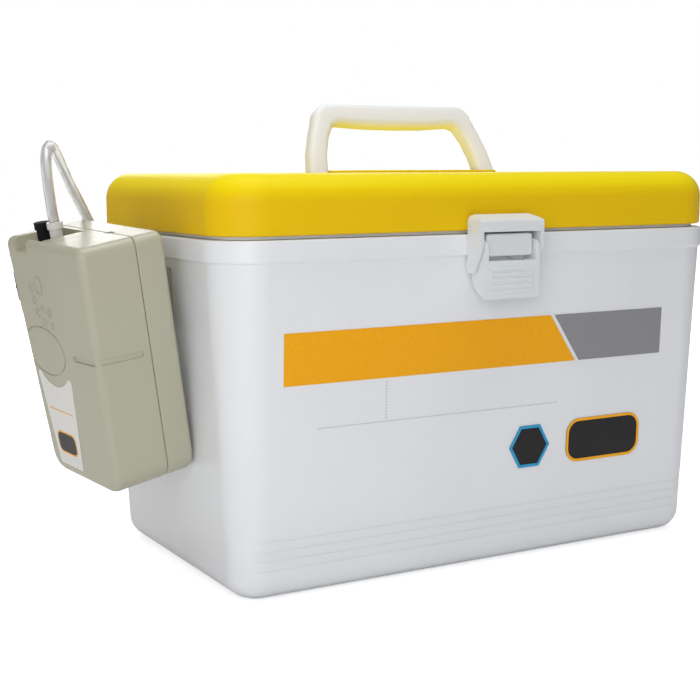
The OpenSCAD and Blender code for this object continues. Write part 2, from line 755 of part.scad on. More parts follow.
// Extrudes what lies in the plane across the aerator from lo to hi
module aer_slab(lo, hi) {
    rotate([90, 0, 90]) translate([0, 0, lo]) linear_extrude(hi - lo) children();
}

// Rod across the aerator's depth at c = [along, up]
module aer_rod(c, r, lo, hi) {
    translate([0, c.x, c.y]) rotate([0, 90, 0]) rod(r, lo, hi);
}

// Rod that stands in the aerator at c = [across, along]
module aer_post(c, r, lo, hi) {
    translate([c.x, c.y, 0]) rod(r, lo, hi);
}

// Recess in the top for the two outlets, and the notch from it through the front
recess_lo = [aer_front + 4, aer_w - 57, -11];
recess_hi = [-cover_d - 5, aer_w - 15, past];
notch_lo = [aer_front - past, aer_w - 37, -10.5];
notch_hi = [recess_lo.x + past, recess_hi.y - past, past];
outlet_at = [aer_front + 21, aer_w - 46];
spare_at = [aer_front + 16, aer_w - 35];
nipple_r = 2.2;
nipple_top = recess_lo.z + 7;

// Recess and panel for the switch on the far side
switch_floor = aer_w - 4;
switch_z = -37.5;
switch_half = 10.5;
switch_neck_in = 1.2;
switch_lo = inner_front + seat - switch_neck_in;
switch_hi = switch_lo + 16;
panel_lo = [aer_front - past, switch_floor, switch_z - 17];
panel_hi = [switch_hi + 2, aer_w + past, switch_z + 22];
switch_depth = 10;
neck_half = switch_half - switch_neck_in;

// Places of the housing screws, seen along the aerator
boss_r = 4;
boss_l = 14;
boss_side = 8.5;
boss_up = 17.5;
boss_places = [[9.5, -13], [aer_w - 10, -10], [aer_draw + boss_side, boss_up - aer_h],
    [aer_w - aer_draw - boss_side, boss_up - aer_h]];

// Shallow groove with round ends, which runs from the near side round on to the front
groove_r = 2.2;
groove_deep = 1.1;
groove_z = -79;
groove_side = [aer_front + 34, groove_z - 2.3];
groove_front = [38, groove_z - 1.9];

// Outline of a slot of radius r from a to b
function slot(r, a, b) =
    let (t = atan2(b.y - a.y, b.x - a.x))
    concat(arc(a, r, t + 90, t + 270, 8), arc(b, r, t - 90, t + 90, 8));

module near_groove() {
    side_y = -groove_z * aer_draw / aer_h;
    rotate([90, 0, 0]) translate([0, 0, -side_y - groove_deep]) linear_extrude(side_y + groove_deep + past)
        polygon(slot(groove_r, [aer_front - past, groove_z], groove_side));
    aer_slab(aer_front - past, aer_front + groove_deep)
        polygon(slot(groove_r, [-past, groove_z], groove_front));
}

pry_lo = [-cover_d - 2, 34, -1.3];
pry_hi = [-cover_d + 3.5, 42, past];

module pry_slot() {
    span(pry_lo, pry_hi);
}

// Rings like rising bubbles on the front, as [along from the far side, up, radius]
bubbles = [[45.5, -32.5, 6.8], [33, -35, 4], [33.5, -44.5, 3.4], [36.5, -53, 3.2], [44, -60.5, 3.6],
    [57, -51.5, 3.4], [58.5, -61, 2.6], [46, -49, 2.4]];

module bubble_rings() {
    ring_w = 1.2;
    ring_proud = 0.7;
    for (b = bubbles)
        difference() {
            aer_rod([aer_w - b.x, b.y], b.z, aer_front - ring_proud, aer_front + past);
            aer_rod([aer_w - b.x, b.y], b.z - ring_w, aer_front - past, aer_front + 2 * past);
        }
}

function oval(c, size, n) =
    [for (i = [0 : n - 1]) c + [size.x * cos(360 * i / n), size.y * sin(360 * i / n)]];

// Plain oval frame sunk into the front
module oval_groove() {
    c = [aer_w - 36, -82];
    size = [33, 18.5];
    line_w = 1.2;
    line_deep = 0.7;
    steps = 48;
    aer_slab(aer_front - past, aer_front + line_deep) difference() {
        polygon(oval(c, size, steps));
        polygon(oval(c, size - [line_w, line_w], steps));
    }
}

// Hollow inside a housing whose end face is at x = face and whose walls run on to x = far
module housing_hollow(face, far, dir) {
    for (k = [1, 2]) {
        near = face + dir * (3 - k) * aer_t;
        aer_slab(min(near, far), max(near, far)) polygon(inset(aer_outline, k * aer_t));
    }
}

// Gap between the two housings, and the chamfer along it
seam_gap = 0.5;
seam_chamfer = 0.5;
rib_w = 2;
rib_dx = 12;
rib_past = 3;

module aerator_front_housing() {
    seam = -cover_d - seam_gap / 2;
    color("darkkhaki") aerator_frame() difference() {
        union() {
            difference() {
                union() {
                    difference() {
                        aer_slab(aer_front, seam) polygon(aer_outline);
                        rotate([90, 0, 90]) rim_cut(aer_outline, aer_front, aer_edge_r, 1);
                        rotate([90, 0, 90]) rim_cut(aer_outline, seam, seam_chamfer, -1, 1);
                    }
                    bubble_rings();
                }
                housing_hollow(aer_front, past - cover_d, 1);
            }
            span(recess_lo - [aer_t, aer_t, aer_t], recess_hi + [aer_t, aer_t, -2 * past]);
            intersection() {
                span([aer_front + past, switch_floor - aer_t, panel_lo.z - aer_t],
                    [panel_hi.x + aer_t, aer_w, panel_hi.z + aer_t]);
                aer_slab(aer_front, seam) polygon(inset(aer_outline, aer_t / 2));
            }
            for (c = boss_places) aer_rod(c, boss_r, aer_front + past, seam);
            for (y = [motor_mid - rib_dx, motor_mid + rib_dx])
                span([aer_front + past, y - rib_w / 2, motor_z - motor_r - rib_past],
                    [motor_x, y + rib_w / 2, motor_z + motor_r + rib_past]);
        }
        span(recess_lo, recess_hi);
        span(notch_lo, notch_hi);
        span(panel_lo, panel_hi);
        span([switch_lo + switch_neck_in - seat, switch_floor - 2 * aer_t, switch_z - neck_half - seat],
            [switch_hi - switch_neck_in + seat, aer_w, switch_z + neck_half + seat]);
        for (c = [outlet_at, spare_at]) aer_post(c, nipple_r + 2 * seat, recess_lo.z - aer_t - past, 0);
        for (c = boss_places) aer_rod(c, screw_r, -cover_d - boss_l, past);
        aer_along([motor_x, motor_z], motor_r + seat, motor_y - past, motor_y + motor_l + past);
        near_groove();
        pry_slot();
        oval_groove();
    }
}

module aerator_back_cover() {
    seam = seam_gap / 2 - cover_d;
    color("darkkhaki") aerator_frame() difference() {
        union() {
            difference() {
                aer_slab(seam, 0) polygon(aer_outline);
                rotate([90, 0, 90]) rim_cut(aer_outline, 0, cover_edge_r, -1);
                rotate([90, 0, 90]) rim_cut(aer_outline, seam, seam_chamfer, 1, 1);
                housing_hollow(0, -cover_d - past, -1);
            }
            for (c = boss_places) aer_rod(c, boss_r, seam, -aer_t / 2);
        }
        for (c = boss_places) {
            aer_rod(c, screw_r + seat, -cover_d - past, past);
            aer_rod(c, screw_head_r + seat, -screw_head_t - seat, past);
        }
        for (y = hanger_y) {
            aer_rod([y, hanger_z], hanger_r + seat, -2 * aer_t, past);
            aer_rod([y, hanger_z - hanger_drop], hanger_head_r + slip, -2 * aer_t, past);
            span([-2 * aer_t, y - hanger_r - seat, hanger_z - hanger_drop],
                [past, y + hanger_r + seat, hanger_z]);
        }
        pry_slot();
    }
}

module housing_screws() {
    color("silver") aerator_frame() for (c = boss_places)
        translate([0, c.x, c.y]) rotate([0, 90, 0]) cross_screw(cover_d + boss_l - 2 * past);
}

// Blank label on the front, whose top edge dips round the oval
label_mid = aer_w / 2 + 18;
label_half = 28;
label_top = -99;
label_bot = 8 - aer_h;
label_t = 0.3;
label_dip = 9;
label_r = 3;

module aerator_label() {
    bottom = [[label_mid - label_half + 9, label_bot], [label_mid + label_half - 10, label_bot]];
    top = [[label_mid + label_half, label_top], [label_mid - label_half, label_top]];
    frame = rounded(concat(bottom, top), [label_r, label_r, label_r, label_r]);
    color("white") aerator_frame() aer_slab(aer_front - seat - label_t, aer_front - seat) difference() {
        polygon(frame);
        polygon(oval([label_mid, label_top + label_dip], [label_half - 2, 2 * label_dip], 48));
    }
}

// Hanger between the end wall and the back cover
hanger_r = 3;
hanger_head_r = 5.5;
hanger_z = -50;
hanger_drop = 13;
hanger_y = [aer_w / 2 - 12, aer_w / 2 + 12];
bracket_t = 3;
bracket_lo = [seat, aer_w / 2 - 22, -80];
bracket_hi = [2 * aer_d, aer_w / 2 + 22, -36];
screw_in_wall = 11;

// Room outside the end wall, at a distance t from it
module end_wall_room(t) {
    rotate([90, 0, 0]) linear_extrude(lid_wid, center = true)
        polygon([[-cx - wall_bot - t, base_fillet], [-cx - wall_top - t, band_z], [-cx - band_out - t, band_z],
            [-cx - band_out - t, 2 * body_h], [0, 2 * body_h], [0, base_fillet]]);
}

// Screw places on the end wall: the up axis points out of the wall, from the bracket's plate
module bracket_screw_places() {
    for (k = [-1, 1]) {
        at = aer_point([0, aer_w / 2 + k * 13, (bracket_lo.z + bracket_hi.z) / 2 - 6]);
        translate([-cx - wall_out(at.z), at.y, at.z]) rotate([0, -90 - wall_ang, 0])
            translate([0, 0, bracket_t + seat]) children();
    }
}

module aerator_bracket() {
    wall = [bracket_t, -past, bracket_t];
    color("dimgray") difference() {
        union() {
            aerator_frame() span(bracket_lo, bracket_hi);
            aerator_frame() for (y = hanger_y) {
                aer_rod([y, hanger_z], hanger_r, -aer_t - seat - 1, past);
                aer_rod([y, hanger_z], hanger_head_r, -aer_t - seat - 2.4, -aer_t - seat);
            }
        }
        end_wall_room(seat);
        difference() {
            aerator_frame() span(bracket_lo + wall, bracket_hi - wall);
            end_wall_room(bracket_t + seat);
        }
        bracket_screw_places() rod(screw_r + seat, -bracket_t - past, past);
        bracket_screw_places() rod(screw_head_r + seat, -screw_head_t - seat, 2 * aer_d);
    }
}

module bracket_screws() {
    color("silver") bracket_screw_places() cross_screw(screw_in_wall + bracket_t);
}

// Air pump
motor_r = 13.8;
motor_l = 38;
motor_y = 16;
motor_mid = motor_y + motor_l / 2;
motor_x = aer_front + 22;
motor_z = -48;
motor_t = 1.2;
shaft_r = 1.5;
wheel_r = 7;
wheel_off = 2;
pump_lo = [inner_front + seat, motor_y + motor_l + 2, motor_z - 15];
pump_hi = [pump_lo.x + 34, pump_lo.y + 32, motor_z + 15];
chamber_r = 10;
// Places of the wheel's chamber along the pump, and depth of the chamber under the diaphragm
chamber_from = pump_lo.y + 2;
chamber_to = pump_lo.y + 12;
membrane_deep = 8;
inlet_at = [aer_front + 15, aer_w - 44];

// Rod along the aerator at c = [across, up]
module aer_along(c, r, lo, hi) {
    translate([c.x, 0, c.y]) rotate([-90, 0, 0]) rod(r, lo, hi);
}

module motor_can() {
    neck_r = 5;
    axis = [motor_x, motor_z];
    color("silver") aerator_frame() difference() {
        union() {
            aer_along(axis, motor_r, motor_y, motor_y + motor_l);
            aer_along(axis, neck_r, motor_y - 2, pump_lo.y - seat);
        }
        aer_along(axis, motor_r - motor_t, motor_y + motor_t, motor_y + motor_l - motor_t);
        aer_along(axis, shaft_r + run, motor_y, aer_w);
    }
}

module motor_rotor() {
    axis = [motor_x, motor_z];
    color("peru") aerator_frame() {
        aer_along(axis, shaft_r, motor_y + motor_t + slip, chamber_to - 2);
        aer_along(axis, motor_r - motor_t - 4 * slip, motor_y + 6, motor_y + motor_l - 8);
        aer_along(axis + [wheel_off, 0], wheel_r, chamber_from + 2, chamber_to - 3);
    }
}

module pump_head() {
    color("gray") aerator_frame() difference() {
        union() {
            span(pump_lo, pump_hi);
            aer_post(inlet_at, nipple_r, pump_hi.z - past, pump_hi.z + 4);
        }
        aer_along([motor_x, motor_z], shaft_r + 2 * slip, 0, chamber_from + past);
        aer_along([motor_x, motor_z], chamber_r, chamber_from, chamber_to);
        aer_along([motor_x, motor_z], shaft_r + past, chamber_to - past, pump_hi.y);
        aer_along([motor_x, motor_z], chamber_r, pump_hi.y - membrane_deep, pump_hi.y + past);
        aer_post(inlet_at, nipple_r - 1, pump_hi.z - 8, pump_hi.z + 5);
    }
}

// Rubber disc with a raised middle, over the far end of the pump
module pump_diaphragm() {
    color("dimgray") aerator_frame() {
        aer_along([motor_x, motor_z], chamber_r + 3, pump_hi.y + seat, pump_hi.y + 1.8);
        aer_along([motor_x, motor_z], chamber_r - 3, pump_hi.y + seat, pump_hi.y + 4);
    }
}

manifold_hi = recess_lo.z - aer_t - seat;
manifold_lo = manifold_hi - 8;
manifold_rim = 5;
duct = 1;

// Block below the recess that feeds both outlets
module air_manifold() {
    color("gray") aerator_frame() difference() {
        union() {
            span([inlet_at.x - manifold_rim, outlet_at.y - manifold_rim, manifold_lo],
                [outlet_at.x + manifold_rim, spare_at.y + manifold_rim, manifold_hi]);
            for (c = [outlet_at, spare_at]) aer_post(c, nipple_r, manifold_lo + 2, nipple_top);
            aer_post(inlet_at, nipple_r, manifold_lo - 4, manifold_lo + 2);
        }
        for (c = [outlet_at, spare_at]) aer_post(c, nipple_r - 1, manifold_hi - 4, nipple_top + past);
        aer_post(inlet_at, nipple_r - 1, manifold_lo - 5, manifold_hi - 3);
        span([inlet_at.x - duct, outlet_at.y - duct, manifold_hi - 5],
            [outlet_at.x + duct, spare_at.y + duct, manifold_hi - 3]);
    }
}

module outlet_hose() {
    color("lightgray") aerator_frame() difference() {
        aer_post(inlet_at, nipple_r + 1.3, pump_hi.z + seat, manifold_lo - seat);
        aer_post(inlet_at, nipple_r + run, pump_hi.z, manifold_lo);
    }
}

collar_h = 9.5;
collar_r = [4.6, 5.7];
collar_step = 4.5;
cap_r = [4.5, 5.4];

// Clear collar on the near outlet, which the airline is pushed into
module outlet_connector() {
    color("lightcyan") aerator_frame() difference() {
        union() {
            aer_post(outlet_at, collar_r[0], recess_lo.z + seat, collar_step + past);
            aer_post(outlet_at, collar_r[1], collar_step, collar_h);
        }
        aer_post(outlet_at, nipple_r + run, recess_lo.z, nipple_top + past);
        aer_post(outlet_at, nipple_r / 2, nipple_top, past);
        aer_post(outlet_at, tube_d / 2 + seat, 0, collar_h + past);
    }
}

// Rubber cap on the spare outlet
module spare_outlet_cap() {
    color("black") aerator_frame() difference() {
        union() {
            aer_post(spare_at, cap_r[0], recess_lo.z + seat, collar_step + past);
            aer_post(spare_at, cap_r[1], collar_step, collar_h);
        }
        aer_post(spare_at, nipple_r + run, recess_lo.z, nipple_top + past);
    }
}

// Batteries, in a tray against the front
cell_r = 16.6;
cell_l = 58.5;
cell_gap = 3;
cell_nub = 1.5;
tray_t = 2.2;
spring_l = 3.4;
cell_dy = cell_r + cell_gap / 2 + 0.4;
cell_x = inner_front + seat + tray_t + cell_r;
tray_lo = -aer_h + 6;
cell_lo = tray_lo + tray_t + 1 + spring_l;
cell_top = cell_lo + cell_l + cell_nub;
tray_hi = cell_top + tray_t + 1.2;
plate_t = 0.8;
plate_half = 4;

module cell_places() {
    for (k = [-1, 1]) translate([cell_x, aer_w / 2 + k * cell_dy, 0]) children();
}

module battery_cells() {
    color("goldenrod") aerator_frame() cell_places() {
        rod(cell_r, cell_lo, cell_lo + cell_l);
        rod(cell_r / 3, cell_lo, cell_top);
    }
}

// Distance of a lead from the middle, where it leaves the plate
lead_dy = 14;
lead_r = 1;

module battery_tray() {
    half = cell_dy + cell_r + tray_t;
    slot_r = lead_r + 3 * slip;
    color("dimgray") aerator_frame() difference() {
        span([inner_front + seat, aer_w / 2 - half, tray_lo], [cell_x + 2, aer_w / 2 + half, tray_hi]);
        cell_places() rod(cell_r + slip, tray_lo + tray_t, tray_hi - tray_t);
        span([cell_x - plate_half - seat, aer_w / 2 - cell_dy, cell_top],
            [cell_x + plate_half, aer_w / 2 + cell_dy, tray_hi - tray_t]);
        for (y = [aer_w / 2 - lead_dy, aer_w / 2 + lead_dy])
            span([cell_x - slot_r, y - slot_r, cell_top], [cell_x + plate_half, y + slot_r, tray_hi + past]);
    }
}

// Springs under the cells and the plate over them
module battery_contacts() {
    color("gold") aerator_frame() {
        cell_places() translate([0, 0, tray_lo + tray_t + seat])
            cylinder(r1 = cell_r / 2, r2 = cell_r / 4, h = spring_l + 1 - 2 * seat);
        cell_places() rod(cell_r / 2, cell_top + seat, cell_top + plate_t);
        span([cell_x - plate_half, aer_w / 2 - cell_dy, cell_top + seat],
            [cell_x + plate_half, aer_w / 2 + cell_dy, cell_top + plate_t]);
    }
}

// Rocker switch: [along, up] of its pivot, and its outline about that pivot when it is level
rocker_pin = [switch_floor - 0.5, switch_z];
rocker_tilt = 20;
rocker_side = 1.2;
rocker_lo = switch_lo + switch_neck_in + rocker_side;
rocker_hi = switch_hi - switch_neck_in - rocker_side;
rocker_end = [8.6, 6];
rocker_foot = [2.2, 6.8];
rocker_heel = [-2.6, 1.6];
rocker_outline = [[rocker_end.x, -rocker_end.y], [rocker_end.x - 1, 0], rocker_end, rocker_foot, rocker_heel,
    [rocker_heel.x, -rocker_heel.y], [rocker_foot.x, -rocker_foot.y]];
rocker_pin_r = 1;

module switch_body() {
    bezel_t = 2;
    open_half = 8.7;
    well_half = 8.1;
    well_top = switch_floor + 0.6;
    color("dimgray") aerator_frame() difference() {
        union() {
            span([switch_lo, switch_floor + seat, switch_z - switch_half],
                [switch_hi, switch_floor + bezel_t, switch_z + switch_half]);
            span([switch_lo + switch_neck_in, switch_floor - switch_depth, switch_z - neck_half],
                [switch_hi - switch_neck_in, switch_floor + past, switch_z + neck_half]);
        }
        span([rocker_lo - slip, well_top, switch_z - open_half],
            [rocker_hi + slip, aer_w, switch_z + open_half]);
        span([rocker_lo - slip, switch_floor - switch_depth + 2, switch_z - well_half],
            [rocker_hi + slip, aer_w, switch_z + well_half]);
        aer_rod(rocker_pin, rocker_pin_r + run, rocker_lo - rocker_side, rocker_hi + rocker_side);
    }
}

module switch_rocker() {
    pin_in = rocker_side - seat;
    color("black") aerator_frame() translate([0, rocker_pin.x, rocker_pin.y]) rotate([rocker_tilt, 0, 0]) {
        aer_slab(rocker_lo, rocker_hi) polygon(rocker_outline);
        aer_rod([0, 0], rocker_pin_r, rocker_lo - pin_in, rocker_hi + pin_in);
    }
}

// Tube of radius r with a bore, swept along a route
function perp(t) = unit(cross(t, abs(t.z) < 0.8 ? [0, 0, 1] : [1, 0, 0]));
function carried(t, i, u) = i == len(t) ? [] :
    let (v = unit(u - (u * t[i]) * t[i])) concat([v], carried(t, i + 1, v));
function tangents(p) = [for (i = [0 : len(p) - 1]) unit(p[min(i + 1, len(p) - 1)] - p[max(i - 1, 0)])];
// Smooth curve through the points p, with n steps between two of them
function smooth(p, n) = concat([for (i = [0 : len(p) - 2], k = [0 : n - 1])
    let (a = p[max(i - 1, 0)], b = p[i], c = p[i + 1], d = p[min(i + 2, len(p) - 1)], s = k / n)
    0.5 * (2 * b + (c - a) * s + (2 * a - 5 * b + 4 * c - d) * s * s + (3 * b - a - 3 * c + d) * s * s * s)],
    [p[len(p) - 1]]);

module cord(p, r, bore, n) {
    t = tangents(p);
    u = carried(t, 0, perp(t[0]));
    m = len(p);
    function ring(i, q) = [for (k = [0 : n - 1])
        let (v = 360 * k / n) p[i] + q * (cos(v) * u[i] + sin(v) * cross(t[i], u[i]))];
    pts = concat([for (i = [0 : m - 1]) each ring(i, r)], [for (i = [0 : m - 1]) each ring(i, bore)]);
    skin = [for (i = [0 : m - 2], k = [0 : n - 1])
        let (a = i * n + k, b = i * n + (k + 1) % n) each [[a, b, b + n], [a, b + n, a + n]]];
    caps = [for (e = [0, m - 1], k = [0 : n - 1])
        let (a = e * n + k, b = e * n + (k + 1) % n, c = b + m * n, d = a + m * n)
        each (e == 0 ? [[a, d, c], [a, c, b]] : [[a, b, c], [a, c, d]])];
    inner = [for (f = skin) [f[0] + m * n, f[2] + m * n, f[1] + m * n]];
    polyhedron(pts, [for (f = concat(skin, caps, inner)) [f[2], f[1], f[0]]]);
}

// Air stone on the floor of the tub, with a nipple that the airline is pushed on to
stone_r = 9;
stone_l = 36;
stone_x = -tx + 9;
stone_y = port_y - 50;
stone_z = floor_t + stone_r + seat;
tube_wall = 1.2;
stem_r = tube_d / 2 - tube_wall - slip;
stem_l = 4;

// Route of the airline: out of the collar, over in a loop, through the end wall and down to the stone
collar_top = aer_point([outlet_at.x, outlet_at.y, collar_h]);
port_at = [-cx - wall_out(port_z), port_y, port_z];
port_in = [cos(wall_ang), 0, sin(wall_ang)];
down_x = -tx - tub_out(port_z) + 20;
drop = port_z - stone_z;
// The loop in the air, from the top of the collar, and the way from there to the port
loop_route = [[-3, -3, 15], [-5.4, -5.4, 32], [-6.4, -7.2, 42.5], [-5, -5.6, 50.5], [-0.5, -0.6, 53.6],
    [5, 6.6, 49.5], [12, 15.6, 39.3], [22, 28, 25], [32, 40, 12]];
port_route = [[-35, -25, 36], [-24, -13, 21], [-13, -3.5, 6]];
// Inside the tub, as [in, back, up as a share of the drop]
down_route = [[-5, 0, 0.985], [-1, 0, 0.95], [0, -1, 0.874], [0, -8, 0.596], [0, -20, 0.354], [1, -28, 0.152],
    [4, -34, 0.061]];
airline_points = concat(
    [for (h = [2 * seat, 5, collar_h, collar_h + 5]) aer_point([outlet_at.x, outlet_at.y, h])],
    [for (v = loop_route) collar_top + v],
    [for (v = port_route) port_at + v],
    [for (h = [-6, -2, 6, port_run - 6, port_run + 3, port_run + 7]) port_at + h * port_in],
    [for (v = down_route) [down_x + v.x, port_y + v.y, stone_z + v.z * drop]],
    [[stone_x - 3, stone_y + 12, stone_z + 2], [stone_x, stone_y + 5, stone_z],
        [stone_x, stone_y + seat, stone_z]]);

module airline_tube() {
    color("gainsboro") cord(smooth(airline_points, 2), tube_d / 2, tube_d / 2 - tube_wall, 10);
}

module air_stone() {
    end_step = 2;
    color("lightblue") translate([stone_x, stone_y, stone_z]) rotate([90, 0, 0]) {
        rod(stone_r, 0, stone_l);
        rod(stone_r - end_step, 0, stone_l + past);
        rod(stem_r, -stem_l, past);
    }
}

// Two leads from the batteries, to the motor and to the switch
lead_low = cell_top + plate_t + seat;
motor_lead = [motor_x - 6, motor_y - seat, motor_z];
switch_lead = [switch_hi - 8, switch_floor - switch_depth - seat, switch_z];
plus_route = [[cell_x, aer_w / 2 - lead_dy, lead_low], [cell_x, aer_w / 2 - lead_dy, lead_low + 7],
    [cell_x - 4, 24, lead_low + 15], motor_lead + [-4, -7, -16], motor_lead + [-2, -8, -4],
    motor_lead + [0, -4, 0], motor_lead];
minus_route = [[cell_x, aer_w / 2 + lead_dy, lead_low], [cell_x, aer_w / 2 + lead_dy, lead_low + 7],
    [cell_x, aer_w - 26, lead_low + 17], switch_lead + [0, -8, -18], switch_lead + [0, -6, -4], switch_lead];

module wiring() {
    color("firebrick") aerator_frame() for (p = [plus_route, minus_route])
        cord(smooth(p, 2), lead_r, lead_r / 3, 6);
}

// Plain coloured areas of the front print, drawn on the wall as [along, up]
print_t = 0.3;
print_drop = 64;
print_h = 37;
print_hi = body_h - print_drop;
print_lo = print_hi - print_h;
left_margin = 44.5;
right_margin = 56;
print_left = left_margin - lid_len / 2;
print_right = lid_len / 2 - right_margin;
// Slanted join of the two stripes, at their lower and upper edges
split_from_end = 142.6;
split_slant = 25.4;
split_lo = lid_len / 2 - split_from_end;
split_hi = split_lo - split_slant;
split_gap = 3.8;
badge_drop = 165.5;
badge_z = body_h - badge_drop;
badge_size = [74, 35];
badge_from_end = 110.5;
badge_pitch = 72.8;
badge_x = lid_len / 2 - badge_from_end;
hexagon_x = badge_x - badge_pitch;
hexagon_r = 19;
badge_rim = 2.2;

module on_front_wall(hi) {
    translate([0, -cy - wall_out(0), 0]) rotate([90 + wall_ang, 0, 0]) translate([0, 0, seat])
        linear_extrude(hi) scale([1, 1 / cos(wall_ang)]) children();
}

module stripe_main() {
    color("orange") on_front_wall(print_t)
        polygon([[print_left, print_lo], [split_lo, print_lo], [split_hi, print_hi], [print_left, print_hi]]);
}

module stripe_end() {
    color("gray") on_front_wall(print_t)
        polygon([[split_lo + split_gap, print_lo], [print_right, print_lo], [print_right, print_hi],
            [split_hi + split_gap, print_hi]]);
}

// Two blank badges, each a plate with a raised border
module badges() {
    hexagon = [for (i = [0 : 5]) [hexagon_x, badge_z] + hexagon_r * [cos(60 * i), sin(60 * i)]];
    plaque = round_rect([badge_x, badge_z], badge_size.x, badge_size.y, badge_size.y / 3, 6);
    color("midnightblue") for (p = [hexagon, plaque]) {
        on_front_wall(print_t) polygon(p);
        on_front_wall(2 * print_t) difference() {
            polygon(p);
            polygon(inset(p, badge_rim));
        }
    }
}

outer_shell();
inner_liner();
body_foam();
hinge_body_leaves();
hinge_pins();
hinge_body_screws();
latch_base();
latch_lever_pin();
airline_grommets();
airline_tube();
air_stone();
stripe_main();
stripe_end();
badges();
aerator_bracket();
bracket_screws();
aerator_back_cover();
aerator_front_housing();
housing_screws();
aerator_label();
battery_cells();
battery_tray();
battery_contacts();
wiring();
motor_can();
motor_rotor();
pump_head();
pump_diaphragm();
outlet_hose();
air_manifold();
outlet_connector();
spare_outlet_cap();
switch_body();
switch_rocker();
lid_shell();
lid_foam();
lid_liner();
lid_catch();
hinge_lid_leaves();
hinge_lid_screws();
handle_pins();
carry_handle();
latch_lever();
latch_loop();
latch_loop_pins();
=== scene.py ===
"""Looks of the aerated bait box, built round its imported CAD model.

Blender's sizes are in metres. Sizes in millimetres are multiplied by MM where they are used.
"""
import math

import bpy
from mathutils import Matrix, Vector


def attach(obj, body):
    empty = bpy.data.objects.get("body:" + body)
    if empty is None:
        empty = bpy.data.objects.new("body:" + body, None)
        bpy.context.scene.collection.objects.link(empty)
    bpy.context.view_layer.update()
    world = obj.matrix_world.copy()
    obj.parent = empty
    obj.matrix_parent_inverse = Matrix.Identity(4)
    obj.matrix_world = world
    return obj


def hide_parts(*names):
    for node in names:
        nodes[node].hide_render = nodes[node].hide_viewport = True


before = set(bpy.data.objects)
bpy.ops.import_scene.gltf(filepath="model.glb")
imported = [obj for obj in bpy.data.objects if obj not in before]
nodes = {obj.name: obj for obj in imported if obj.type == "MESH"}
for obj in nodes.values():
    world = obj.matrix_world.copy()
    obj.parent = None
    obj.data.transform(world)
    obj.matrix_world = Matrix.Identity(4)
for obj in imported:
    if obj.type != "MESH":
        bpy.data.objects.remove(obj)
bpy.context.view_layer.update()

MM = 0.001


def collection_add(obj):
    bpy.context.scene.collection.objects.link(obj)
    return obj


# Camera: fitted to the outline of the box in the photograph. Its place is in metres, and the
# focal length and the centre of the view are in pixels of a square picture.
IMAGE_SIZE = 700
FOCAL_PX = 1334.08
CENTRE_PX = (371.45, 349.06)
SENSOR = 36.0
CAM_PLACE = (-0.575621, -0.939982, 0.300091)
CAM_RIGHT = (0.865710, -0.500527, -0.004325)
CAM_UP = (0.069466, 0.111582, 0.991324)
CAM_AHEAD = (0.495702, 0.858500, -0.131367)
CAM_NEAR = 0.05
CAM_FAR = 50

camera = collection_add(bpy.data.objects.new("camera", bpy.data.cameras.new("camera")))
camera.matrix_world = Matrix([
    (right, up, -ahead, place)
    for right, up, ahead, place in zip(CAM_RIGHT, CAM_UP, CAM_AHEAD, CAM_PLACE)] + [(0, 0, 0, 1)])
camera.data.sensor_width = SENSOR
camera.data.lens = FOCAL_PX / IMAGE_SIZE * SENSOR
camera.data.shift_x = (IMAGE_SIZE / 2 - CENTRE_PX[0]) / IMAGE_SIZE
camera.data.shift_y = (CENTRE_PX[1] - IMAGE_SIZE / 2) / IMAGE_SIZE
camera.data.clip_start = CAM_NEAR
camera.data.clip_end = CAM_FAR
bpy.context.scene.camera = camera


# Materials
def srgb(r, g, b):
    """Linear colour of an 8-bit one."""
    def linear(c):
        return c / 255 / 12.92 if c / 255 <= 0.04045 else ((c / 255 + 0.055) / 1.055) ** 2.4
    return (linear(r), linear(g), linear(b), 1.0)


def darker(colour, k):
    return tuple(c * k for c in colour[:3]) + (1.0,)


